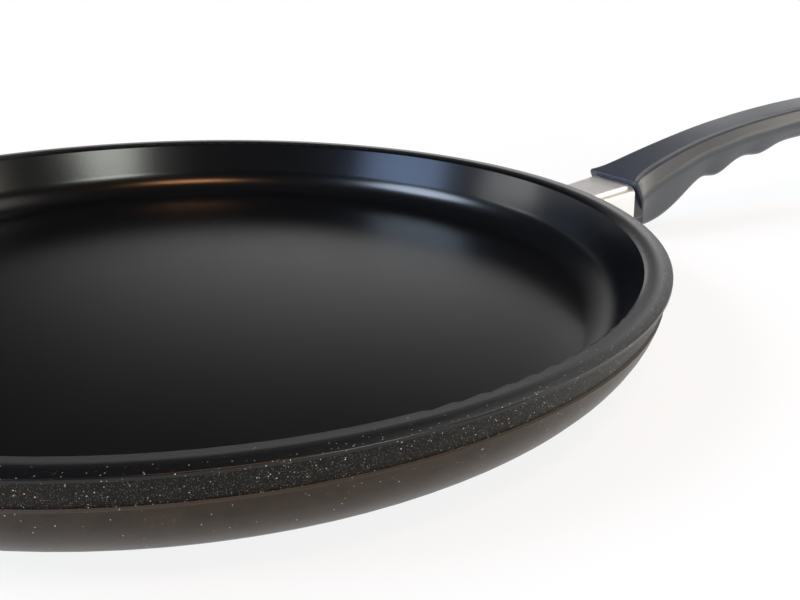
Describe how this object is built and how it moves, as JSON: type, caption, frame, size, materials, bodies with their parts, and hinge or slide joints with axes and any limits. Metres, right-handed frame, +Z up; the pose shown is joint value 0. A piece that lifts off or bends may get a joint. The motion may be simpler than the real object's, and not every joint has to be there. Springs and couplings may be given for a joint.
{
  "type": "crepe pan",
  "caption": "Low round crepe pan: cast aluminium, flat broad rim, polished flame guard and a curved moulded grip with finger swells and a hanging slot.",
  "frame": {"origin": "centre of the pan's flat base, on the plane that it stands on", "axes": "+Z up, +X from the pan's centre along the handle, +Y across the handle"},
  "size_m": [0.4748, 0.28, 0.0517],
  "materials": {
    "coated_casting": "satin black non-stick coating, speckled on the outer band",
    "polished_steel": "polished stainless sheet",
    "moulded_grip": "satin black phenolic moulding",
    "zinc_steel": "zinc-plated"
  },
  "bodies": {
    "root": {"pan_body": "coated_casting", "flame_guard": "polished_steel", "grip": "moulded_grip", "fixing_screw": "zinc_steel", "spring_washer": "zinc_steel", "flat_washer": "zinc_steel"}
  },
  "joints": []
}
